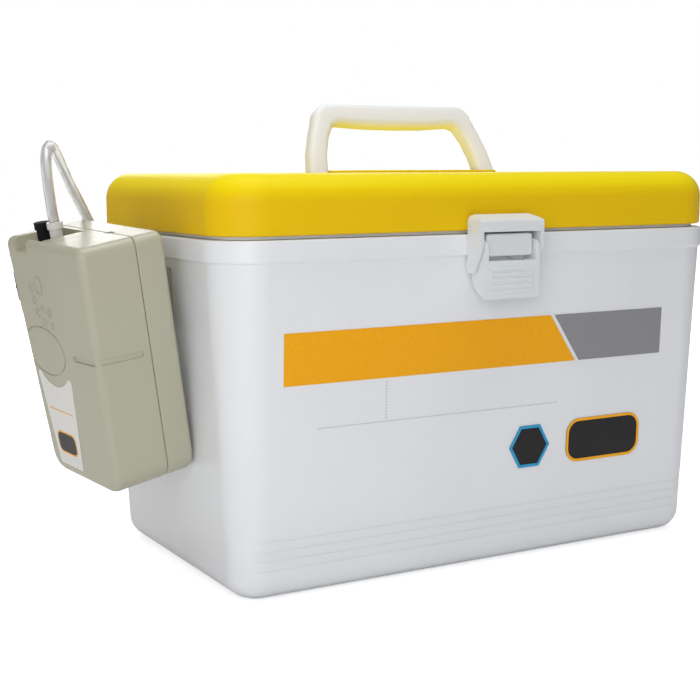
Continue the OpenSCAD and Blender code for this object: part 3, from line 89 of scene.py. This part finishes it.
class Tree:
    """Short forms for the nodes that the materials share."""

    def __init__(self, name):
        self.mat = bpy.data.materials.new(name)
        self.mat.use_nodes = True
        self.nt = self.mat.node_tree
        self.shader = self.nt.nodes["Principled BSDF"]
        self.coord = self.add("ShaderNodeTexCoord").outputs["Object"]

    def add(self, kind, **props):
        n = self.nt.nodes.new(kind)
        for key, value in props.items():
            setattr(n, key, value)
        return n

    def link(self, a, b):
        self.nt.links.new(a, b)

    def noise(self, scale, detail=4.0, roughness=0.55, vector=None):
        n = self.add("ShaderNodeTexNoise")
        n.inputs["Scale"].default_value = scale
        n.inputs["Detail"].default_value = detail
        n.inputs["Roughness"].default_value = roughness
        self.link(vector or self.coord, n.inputs["Vector"])
        return n.outputs["Fac"]

    def ramp(self, fac, stops):
        """Colour that runs through the stops, each a place from 0 to 1 and a colour."""
        n = self.add("ShaderNodeValToRGB")
        for e, (at, colour) in zip(n.color_ramp.elements, stops):
            e.position = at
            e.color = colour
        self.link(fac, n.inputs["Fac"])
        return n.outputs["Color"]

    def remap(self, fac, lo, hi, a, b):
        """Value that goes from a to b while fac goes from lo to hi."""
        n = self.add("ShaderNodeMapRange")
        for key, value in zip(("From Min", "From Max", "To Min", "To Max"), (lo, hi, a, b)):
            n.inputs[key].default_value = value
        self.link(fac, n.inputs["Value"])
        return n.outputs["Result"]

    def mix(self, fac, a, b):
        """Colour a where fac is 0 and b where it is 1. Either is a socket or a constant."""
        n = self.add("ShaderNodeMix", data_type="RGBA")
        factor_at, a_at, b_at, result_at = 0, 6, 7, 2
        self.link(fac, n.inputs[factor_at])
        for index, value in ((a_at, a), (b_at, b)):
            if isinstance(value, tuple):
                n.inputs[index].default_value = value
            else:
                self.link(value, n.inputs[index])
        return n.outputs[result_at]

    def bump(self, height, distance, strength):
        n = self.add("ShaderNodeBump")
        n.inputs["Distance"].default_value = distance
        n.inputs["Strength"].default_value = strength
        self.link(height, n.inputs["Height"])
        self.link(n.outputs["Normal"], self.shader.inputs["Normal"])

    def set(self, socket, value):
        self.shader.inputs[socket].default_value = value


def moulded(name, colour, rough=0.35, grain=0.00004, grain_scale=900.0, tint=0.04, coat=0.0,
            shade=None, subsurface=0.0, gloss=0.5):
    """Moulded plastic: fine grain, slow changes of tone, faint scuffs that catch the light, and
    painted shade on upright faces where shade is given.

    grain is the depth of the grain in metres, and tint how far the slow patches darken. shade is
    a painted shade: the darker colour that upright faces take instead, for the lesser light on
    them.
    """
    scuff = 0.05
    t = Tree(name)
    tone = t.ramp(t.noise(9.0, detail=5.0), [(0.3, darker(colour, 1 - tint)), (0.7, colour)])
    specks = t.remap(t.noise(420.0, detail=2.0), 0.62, 0.74, 0.0, 0.12)
    tone = t.mix(specks, tone, darker(colour, 0.8))
    # Painted shade: faces are blended towards the shade colour as they turn upright, darker than
    # the lit top.
    if shade is not None:
        up = t.add("ShaderNodeSeparateXYZ")
        t.link(t.add("ShaderNodeNewGeometry").outputs["Normal"], up.inputs[0])
        tone = t.mix(t.remap(up.outputs["Z"], 0.05, 0.85, 1.0, 0.0), tone, shade)
    t.link(tone, t.shader.inputs["Base Color"])
    scratch = t.noise(55.0, detail=8.0, roughness=0.7)
    t.link(t.remap(scratch, 0.35, 0.7, rough - scuff, rough + scuff), t.shader.inputs["Roughness"])
    t.bump(t.noise(grain_scale, detail=3.0), grain, strength=0.6)
    t.set("Coat Weight", coat)
    t.set("Specular IOR Level", gloss)
    if subsurface:
        t.set("Subsurface Weight", subsurface)
        t.set("Subsurface Radius", (0.004, 0.003, 0.002))
    return t.mat


def brushed(name, colour):
    """Metal with fine lines drawn out along one direction."""
    rough = 0.3
    stretch = (1.0, 1.0, 40.0)
    t = Tree(name)
    m = t.add("ShaderNodeMapping")
    m.inputs["Scale"].default_value = stretch
    t.link(t.coord, m.inputs["Vector"])
    lines = t.noise(260.0, detail=6.0, roughness=0.7, vector=m.outputs["Vector"])
    t.link(t.ramp(lines, [(0.25, darker(colour, 0.75)), (0.75, colour)]),
           t.shader.inputs["Base Color"])
    t.link(t.remap(lines, 0.2, 0.8, rough - 0.08, rough + 0.12), t.shader.inputs["Roughness"])
    t.set("Metallic", 1.0)
    t.bump(lines, 0.00002, strength=0.5)
    return t.mat


def rubber(name, colour):
    """Black rubber: dull, with a coarse grain."""
    rough = 0.75
    t = Tree(name)
    t.link(t.ramp(t.noise(60.0, detail=6.0), [(0.3, colour), (0.75, darker(colour, 1.8))]),
           t.shader.inputs["Base Color"])
    t.link(t.remap(t.noise(140.0), 0.3, 0.7, rough - 0.1, rough + 0.1),
           t.shader.inputs["Roughness"])
    t.bump(t.noise(1400.0, detail=2.0), 0.00005, strength=0.6)
    t.set("Specular IOR Level", 0.2)
    return t.mat


def clear(name, colour, rough, transmission):
    """Clear soft plastic, less than wholly clear so that it shows against white."""
    t = Tree(name)
    t.link(t.ramp(t.noise(30.0), [(0.3, darker(colour, 0.93)), (0.7, colour)]),
           t.shader.inputs["Base Color"])
    t.link(t.remap(t.noise(80.0), 0.3, 0.7, rough - 0.04, rough + 0.06),
           t.shader.inputs["Roughness"])
    t.set("Transmission Weight", transmission)
    t.set("IOR", 1.42)
    t.bump(t.noise(200.0, detail=2.0), 0.00003, strength=0.4)
    return t.mat


def plain_tone(colour):
    """Even colour of ink with a faint screen grain."""
    return lambda t, grain: t.ramp(grain, [(0.35, darker(colour, 0.93)), (0.65, colour)])


def printed(name, tone, rough=0.32, gloss=0.3):
    """Ink on the wall. tone makes its colour from the material's tree and the grain."""
    t = Tree(name)
    t.link(tone(t, t.noise(700.0, detail=2.0)), t.shader.inputs["Base Color"])
    t.set("Specular IOR Level", gloss)
    t.link(t.remap(t.noise(45.0, detail=6.0), 0.35, 0.7, rough - 0.04, rough + 0.08),
           t.shader.inputs["Roughness"])
    t.bump(t.noise(1200.0, detail=2.0), 0.00002, strength=0.5)
    return t.mat


WHITE = srgb(240, 241, 244)
CREAM = srgb(243, 241, 236)
YELLOW = srgb(255, 232, 0)
# Painted shade: the darker, browner yellow put on the lid's upright faces in place of the light
# they miss.
YELLOW_PAINTED_SHADE = srgb(242, 198, 14)
SAGE = srgb(187, 184, 162)
ORANGE = srgb(255, 178, 20)
GREY = srgb(148, 147, 152)
BADGE_BLUE = srgb(40, 160, 214)
INK_DARK = srgb(34, 31, 32)

# Front wall of the body, in millimetres: the height and distance of its foot from the middle, and
# how far it leans out over its height
WALL_FOOT_Z = 17.0
WALL_FOOT_Y = 119.1
WALL_SLOPE = 11.2 / 222.0
WALL_LEAN = math.atan(WALL_SLOPE)

# The hexagonal badge lies left of the split and the long one right of it. What stands further out
# of the wall than BADGE_RIM_OUT is rim.
BADGE_SPLIT = 0.0625
BADGE_SPLIT_BLUR = 0.001
BADGE_RIM_OUT = 0.00055
BADGE_RIM_BLUR = 0.00002


def badge_tone(t, grain):
    """Dark badges, whose raised rims are blue on the hexagon and orange on the plaque."""
    place = t.add("ShaderNodeSeparateXYZ")
    t.link(t.coord, place.inputs[0])
    out = t.add("ShaderNodeVectorMath", operation="DOT_PRODUCT")
    t.link(t.coord, out.inputs[0])
    out.inputs[1].default_value = (0.0, -math.cos(WALL_LEAN), -math.sin(WALL_LEAN))
    foot = (WALL_FOOT_Y * math.cos(WALL_LEAN) - WALL_FOOT_Z * math.sin(WALL_LEAN)) * MM
    on_rim = t.remap(out.outputs["Value"], foot + BADGE_RIM_OUT - BADGE_RIM_BLUR,
                     foot + BADGE_RIM_OUT + BADGE_RIM_BLUR, 0.0, 1.0)
    right = t.remap(place.outputs["X"], BADGE_SPLIT - BADGE_SPLIT_BLUR,
                    BADGE_SPLIT + BADGE_SPLIT_BLUR, 0.0, 1.0)
    field = t.ramp(grain, [(0.35, srgb(26, 23, 23)), (0.65, INK_DARK)])
    return t.mix(on_rim, field, t.mix(right, BADGE_BLUE, ORANGE))


looks = {
    "white_shell": moulded("white_shell_plastic", WHITE, 0.34, coat=0.1, subsurface=0.05),
    "white_liner": moulded("white_liner_plastic", CREAM, 0.4),
    "white_latch": moulded("white_latch_plastic", srgb(230, 233, 235), 0.36, grain=0.00002),
    "handle": moulded("white_handle_plastic", srgb(251, 251, 252), 0.42, grain=0.00003),
    # The lid's upright faces take a darker yellow as painted shade.
    "yellow": moulded("yellow_lid_plastic_with_painted_shade", YELLOW, 0.45, grain=0.00006, shade=YELLOW_PAINTED_SHADE,
                      gloss=0.12),
    "sage": moulded("sage_housing_plastic", SAGE, 0.34, grain=0.00007, grain_scale=1500.0,
                    tint=0.06, coat=0.08),
    "foam": moulded("insulation_foam", srgb(236, 222, 180), 0.85, grain=0.0003,
                    grain_scale=500.0, tint=0.12),
    "dark": moulded("dark_plastic", srgb(38, 38, 40), 0.5, tint=0.2),
    # Painted shade: the bracket is a darker copy of the sage plastic, matched to the shade between
    # the aerator and the end wall.
    "bracket": moulded("bracket_plastic", srgb(150, 148, 130), 0.55, tint=0.1),
    "switch": moulded("switch_plastic", srgb(22, 22, 24), 0.3, grain=0.00003, tint=0.2),
    "label": printed("label_film", plain_tone(srgb(238, 236, 232)), rough=0.35),
    "orange": printed("orange_ink", plain_tone(ORANGE), gloss=0.2),
    "grey": printed("grey_ink", plain_tone(GREY)),
    "dark_ink": printed("dark_ink", plain_tone(INK_DARK)),
    "badge": printed("badge_ink", badge_tone),
    "steel": brushed("steel", srgb(190, 190, 192)),
    "brass": brushed("brass", srgb(214, 178, 104)),
    "cell": moulded("cell_jacket", srgb(196, 138, 42), 0.3, coat=0.4),
    "lead": moulded("lead_insulation", srgb(176, 28, 24), 0.35),
    "rubber": rubber("black_rubber", srgb(14, 15, 16)),
    "stone": moulded("air_stone_grit", srgb(96, 132, 178), 0.95, grain=0.0012,
                     grain_scale=700.0, tint=0.3),
    "hose": clear("clear_hose", srgb(246, 246, 246), rough=0.1, transmission=0.72),
    "collar": clear("clear_collar", srgb(250, 249, 244), rough=0.2, transmission=0.25),
}

look_nodes = {
    "white_shell": ["outer_shell", "hinge_body_leaves", "hinge_lid_leaves"],
    "white_liner": ["inner_liner", "lid_liner"],
    "white_latch": ["latch_base", "latch_lever", "latch_loop", "latch_loop_pins"],
    "handle": ["carry_handle"],
    "yellow": ["lid_shell", "lid_catch"],
    "sage": ["aerator_back_cover", "aerator_front_housing"],
    "foam": ["body_foam", "lid_foam"],
    "dark": ["battery_tray", "pump_head", "air_manifold"],
    "bracket": ["aerator_bracket"],
    "switch": ["switch_body", "switch_rocker"],
    "label": ["aerator_label"],
    "orange": ["stripe_main"],
    "grey": ["stripe_end"],
    "badge": ["badges"],
    "steel": ["hinge_pins", "hinge_body_screws", "hinge_lid_screws", "handle_pins",
              "latch_lever_pin", "bracket_screws", "housing_screws", "motor_can"],
    "brass": ["battery_contacts", "motor_rotor"],
    "cell": ["battery_cells"],
    "lead": ["wiring"],
    "rubber": ["airline_grommets", "spare_outlet_cap", "pump_diaphragm"],
    "stone": ["air_stone"],
    "hose": ["airline_tube", "outlet_hose"],
    "collar": ["outlet_connector"],
}
node_looks = {node: look for look, members in look_nodes.items() for node in members}

# Width in millimetres of the highlight that runs along a moulded edge
edge_width = {
    "outer_shell": 0.5, "lid_shell": 0.5, "latch_base": 0.3, "latch_loop": 0.7,
    "aerator_back_cover": 0.45, "aerator_front_housing": 0.45, "spare_outlet_cap": 0.5,
    "outlet_connector": 0.4, "switch_body": 0.4, "switch_rocker": 0.5, "hinge_body_leaves": 0.5,
    "hinge_lid_leaves": 0.5, "inner_liner": 0.6, "lid_liner": 0.6, "aerator_bracket": 0.5,
}
WELD_GAP = 0.000002
BEVEL_ANGLE = math.radians(35)
HARD_ANGLE = math.radians(40)
NORMAL_WEIGHT = 60


def set_material(obj, mat):
    obj.data.materials.clear()
    obj.data.materials.append(mat)


def set_smooth(mesh, smooth):
    for poly in mesh.polygons:
        poly.use_smooth = smooth


def dress(name, obj):
    """Give a CAD node its material, smooth curved faces and hard or lightly rounded edges."""
    set_material(obj, looks[node_looks[name]])
    set_smooth(obj.data, True)
    weld = obj.modifiers.new("weld", "WELD")
    weld.merge_threshold = WELD_GAP
    if name in edge_width:
        bevel = obj.modifiers.new("edge", "BEVEL")
        bevel.width = edge_width[name] * MM
        bevel.segments = 2
        bevel.limit_method = "ANGLE"
        bevel.angle_limit = BEVEL_ANGLE
    split = obj.modifiers.new("hard_edges", "EDGE_SPLIT")
    split.split_angle = HARD_ANGLE
    if name in edge_width:
        flat_faces = obj.modifiers.new("normals", "WEIGHTED_NORMAL")
        flat_faces.mode = "FACE_AREA_WITH_ANGLE"
        flat_faces.keep_sharp = True
        flat_faces.weight = NORMAL_WEIGHT


for node_name, node_obj in nodes.items():
    dress(node_name, node_obj)


# Helpers for new pieces
def mesh_object(name, verts, faces, mat, body, smooth=True):
    mesh = bpy.data.meshes.new(name)
    mesh.from_pydata([tuple(v) for v in verts], [], faces)
    mesh.validate()
    mesh.update()
    set_smooth(mesh, smooth)
    obj = collection_add(bpy.data.objects.new(name, mesh))
    set_material(obj, mat)
    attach(obj, body)
    return obj


def catmull(points, steps):
    """Points of a Catmull-Rom curve through the given ones."""
    out = []
    for i in range(len(points) - 1):
        a, b = points[max(i - 1, 0)], points[i]
        c, d = points[i + 1], points[min(i + 2, len(points) - 1)]
        for k in range(steps):
            s = k / steps
            out.append(0.5 * (2 * b + (c - a) * s + (2 * a - 5 * b + 4 * c - d) * s * s
                              + (3 * b - a - 3 * c + d) * s ** 3))
    out.append(points[-1])
    return out


def tube(name, path, radius, bore, sides, mat, body):
    """Hollow tube along a path, with rings carried along so that they don't twist."""
    n = len(path)
    tangents = [(path[min(i + 1, n - 1)] - path[max(i - 1, 0)]).normalized() for i in range(n)]
    across = tangents[0].orthogonal().normalized()
    rings = []
    for p, t in zip(path, tangents):
        across = (across - across.dot(t) * t).normalized()
        rings.append((p, across, t.cross(across)))
    verts = []
    for r in (radius, bore):
        for p, u, v in rings:
            for k in range(sides):
                a = 2 * math.pi * k / sides
                verts.append(p + r * (math.cos(a) * u + math.sin(a) * v))
    inner = n * sides
    faces = []
    for i in range(n - 1):
        for k in range(sides):
            a, b = i * sides + k, i * sides + (k + 1) % sides
            faces.append((a, b, b + sides, a + sides))
            faces.append((a + inner, a + inner + sides, b + inner + sides, b + inner))
    for end in (0, n - 1):
        for k in range(sides):
            a, b = end * sides + k, end * sides + (k + 1) % sides
            quad = (a, a + inner, b + inner, b)
            faces.append(quad if end == 0 else quad[::-1])
    return mesh_object(name, verts, faces, mat, body)


# Airline: the route of the CAD tube, in millimetres, from its collar on the aerator through the
# end wall and down to the air stone
AIRLINE_ROUTE = [
    (-294.008, -5.896, 257.261), (-294.854, -6.211, 261.975), (-295.648, -6.506, 266.394),
    (-296.530, -6.834, 271.305), (-298.648, -9.506, 281.394), (-301.048, -11.906, 298.394),
    (-302.048, -13.706, 308.894), (-300.648, -12.106, 316.894), (-296.148, -7.106, 319.994),
    (-290.648, 0.094, 315.894), (-283.648, 9.094, 305.694), (-273.648, 21.494, 291.394),
    (-263.648, 33.494, 278.394), (-253.795, 45.0, 265.0), (-242.795, 57.0, 250.0),
    (-231.795, 66.5, 235.0), (-224.788, 70.0, 228.698), (-220.793, 70.0, 228.899),
    (-212.803, 70.0, 229.302), (-200.343, 70.0, 229.931), (-191.354, 70.0, 230.384),
    (-187.359, 70.0, 230.586), (-179.350, 70.0, 226.031), (-175.350, 70.0, 219.105),
    (-174.350, 69.0, 204.065), (-174.350, 62.0, 149.048), (-174.350, 50.0, 101.157),
    (-173.350, 42.0, 61.181), (-170.350, 36.0, 43.172), (-163.300, 32.0, 33.1),
    (-160.300, 25.0, 31.1), (-160.300, 20.1, 31.1)]
AIRLINE_D = 7.5 * MM
AIRLINE_WALL = 1.2 * MM
AIRLINE_STEPS = 6
AIRLINE_SIDES = 24
airline_path = catmull([Vector(p) * MM for p in AIRLINE_ROUTE], AIRLINE_STEPS)
airline = tube("airline", airline_path, AIRLINE_D / 2, AIRLINE_D / 2 - AIRLINE_WALL,
               AIRLINE_SIDES, looks["hose"], "cooler")
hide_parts("airline_tube")


# Printed details
def front_wall(x, z, out):
    """Point on the front wall, out millimetres in front of it."""
    y = -(WALL_FOOT_Y + WALL_SLOPE * (z - WALL_FOOT_Z))
    return Vector((x, y - out * math.cos(WALL_LEAN), z - out * math.sin(WALL_LEAN))) * MM


# The aerator's own frame, in millimetres: its origin and its axes in the part's frame
AER_ORIGIN = Vector((-241.9, -78.0, 261.6))
AER_AXES = (Vector((0.975735, 0.119805, 0.183269)), Vector((-0.129688, 0.990627, 0.0428806)),
            Vector((-0.176414, -0.0656079, 0.982127)))
LABEL_FACE = -64.4


def label_face(y, z, out):
    """Point on the aerator's label, y along it and z up, out millimetres in front of it."""
    local = (LABEL_FACE - out, y, z)
    return (AER_ORIGIN + sum((c * axis for c, axis in zip(local, AER_AXES)), Vector())) * MM


def circle(c, r, sides):
    turns = [2 * math.pi * k / sides for k in range(sides)]
    return [(c[0] + r * math.cos(a), c[1] + r * math.sin(a)) for a in turns]


def round_rect(c, w, h, r, steps=5):
    pts = []
    for quarter, (sx, sy) in enumerate(((1, 1), (-1, 1), (-1, -1), (1, -1))):
        for k in range(steps + 1):
            a = math.pi / 2 * (quarter + k / steps)
            pts.append((c[0] + sx * (w / 2 - r) + r * math.cos(a),
                        c[1] + sy * (h / 2 - r) + r * math.sin(a)))
    return pts


def ink(name, outlines, place, lo, hi, mat):
    """Thin plates of ink with the given outlines, from lo to hi millimetres off their face."""
    verts, faces = [], []
    for outline in outlines:
        base, n = len(verts), len(outline)
        verts += [place(u, v, out) for out in (lo, hi) for u, v in outline]
        faces.append(tuple(base + n + k for k in range(n)))
        faces.append(tuple(base + k for k in reversed(range(n))))
        faces += [(base + k, base + (k + 1) % n, base + n + (k + 1) % n, base + n + k)
                  for k in range(n)]
    mesh_object(name, verts, faces, mat, "cooler", smooth=False)


# Dotted rules on the front wall: one along it, and one up from it. Each starts at (x, z).
INK_BACK = 0.02
DOT_FRONT = 0.14
DOT_PITCH = 2.4
DOT_R = 0.45
DOT_SIDES = 8
RULE_ALONG = (-148.0, 122.0)
RULE_ALONG_DOTS = 88
RULE_UP = (-93.0, 124.4)
RULE_UP_DOTS = 12
ink("dotted_rule_along",
    [circle((RULE_ALONG[0] + DOT_PITCH * i, RULE_ALONG[1]), DOT_R, DOT_SIDES)
     for i in range(RULE_ALONG_DOTS)],
    front_wall, INK_BACK, DOT_FRONT, looks["grey"])
ink("dotted_rule_up",
    [circle((RULE_UP[0], RULE_UP[1] + DOT_PITCH * i), DOT_R, DOT_SIDES)
     for i in range(RULE_UP_DOTS)],
    front_wall, INK_BACK, DOT_FRONT, looks["grey"])

# Rule and plaque on the aerator's label. The plaque's dark field lies on its orange rim. The
# tuples are a width, a height and a corner radius.
LABEL_MID = 80.0
LABEL_RULE_Z = -127.0
LABEL_RULE = (40, 0.8, 0.35)
LABEL_BADGE_Z = -152.0
LABEL_BADGE_RIM = (31, 17, 6)
LABEL_BADGE = (28.6, 14.6, 4.8)
LABEL_FRONT = 0.1
LABEL_BADGE_FRONT = 0.18
ink("label_rule", [round_rect((LABEL_MID, LABEL_RULE_Z), *LABEL_RULE)], label_face,
    INK_BACK, LABEL_FRONT, looks["orange"])
ink("label_badge_rim", [round_rect((LABEL_MID, LABEL_BADGE_Z), *LABEL_BADGE_RIM)], label_face,
    INK_BACK, LABEL_FRONT, looks["orange"])
ink("label_badge", [round_rect((LABEL_MID, LABEL_BADGE_Z), *LABEL_BADGE)], label_face,
    LABEL_FRONT, LABEL_BADGE_FRONT, looks["dark_ink"])

# Floor. What the camera sees of it is lifted to white with distance from the object, and keeps
# the shadow round it. Each lift is a distance in metres and the strength of the glow there.
FLOOR_HALF = 6.0
FLOOR_Z = -0.0003
LIFT_NEAR = (0.4, 0.6)
LIFT_FAR = (1.3, 1.0)

floor_look = Tree("studio_floor")
floor_look.link(floor_look.ramp(floor_look.noise(3.0), [(0.3, (0.86, 0.86, 0.86, 1.0)),
                                                        (0.7, (0.88, 0.88, 0.88, 1.0))]),
                floor_look.shader.inputs["Base Color"])
floor_look.set("Roughness", 0.9)
away = floor_look.add("ShaderNodeVectorMath", operation="LENGTH")
floor_look.link(floor_look.coord, away.inputs[0])
lift = floor_look.add("ShaderNodeEmission")
floor_look.link(floor_look.remap(away.outputs["Value"], LIFT_NEAR[0], LIFT_FAR[0],
                                 LIFT_NEAR[1], LIFT_FAR[1]), lift.inputs["Strength"])
lifted = floor_look.add("ShaderNodeAddShader")
floor_look.link(floor_look.shader.outputs[0], lifted.inputs[0])
floor_look.link(lift.outputs[0], lifted.inputs[1])
ray = floor_look.add("ShaderNodeLightPath")
seen = floor_look.add("ShaderNodeMath", operation="MAXIMUM")
floor_look.link(ray.outputs["Is Camera Ray"], seen.inputs[0])
floor_look.link(ray.outputs["Is Transmission Ray"], seen.inputs[1])
pick = floor_look.add("ShaderNodeMixShader")
floor_look.link(seen.outputs[0], pick.inputs["Fac"])
floor_look.link(floor_look.shader.outputs[0], pick.inputs[1])
floor_look.link(lifted.outputs[0], pick.inputs[2])
floor_look.link(pick.outputs[0], floor_look.nt.nodes["Material Output"].inputs["Surface"])

floor_mesh = bpy.data.meshes.new("floor")
floor_mesh.from_pydata([(sx * FLOOR_HALF, sy * FLOOR_HALF, FLOOR_Z)
                        for sx, sy in ((-1, -1), (1, -1), (1, 1), (-1, 1))], [], [(0, 1, 2, 3)])
floor = collection_add(bpy.data.objects.new("floor", floor_mesh))
set_material(floor, floor_look.mat)

# World: a dim cool light on the object, and plain white where the camera sees it
WORLD_COLOUR = (0.96, 0.98, 1.0, 1)
WORLD_STRENGTH = 0.3

world = bpy.data.worlds.new("studio")
bpy.context.scene.world = world
world.use_nodes = True
wt = world.node_tree
background = wt.nodes["Background"]
background.inputs["Color"].default_value = WORLD_COLOUR
background.inputs["Strength"].default_value = WORLD_STRENGTH
white = wt.nodes.new("ShaderNodeBackground")
white.inputs["Color"].default_value = (1, 1, 1, 1)
world_ray = wt.nodes.new("ShaderNodeLightPath")
world_pick = wt.nodes.new("ShaderNodeMixShader")
wt.links.new(world_ray.outputs["Is Camera Ray"], world_pick.inputs["Fac"])
wt.links.new(background.outputs[0], world_pick.inputs[1])
wt.links.new(white.outputs[0], world_pick.inputs[2])
wt.links.new(world_pick.outputs[0], wt.nodes["World Output"].inputs["Surface"])


def lamp(name, place, target, size, power, colour=(1, 1, 1)):
    """Soft rectangular lamp that faces the target and isn't seen itself."""
    data = bpy.data.lights.new(name, "AREA")
    data.shape = "RECTANGLE"
    data.size, data.size_y = size
    data.energy = power
    data.color = colour
    obj = collection_add(bpy.data.objects.new(name, data))
    obj.location = place
    obj.rotation_mode = "QUATERNION"
    obj.rotation_quaternion = (Vector(target) - Vector(place)).to_track_quat("-Z", "Y")
    obj.visible_camera = False


lamp("top_light", place=(0.0, -0.1, 2.2), target=(0, 0, 0.2), size=(1.6, 1.6), power=23.0)
lamp("front_light", place=(-0.8, -1.0, 0.5), target=(-0.05, 0, 0.15), size=(0.8, 0.8),
     power=5.4, colour=(0.97, 0.985, 1.0))
lamp("left_light", place=(-2.2, 0.5, 0.6), target=(-0.2, 0, 0.15), size=(1.0, 1.2),
     power=2.2, colour=(1.0, 0.82, 0.64))
lamp("back_light", place=(0.9, 2.2, 1.0), target=(0.05, 0, 0.15), size=(1.4, 1.4), power=17.0)

bpy.context.scene.view_settings.view_transform = "Standard"
bpy.context.scene.view_settings.look = "None"
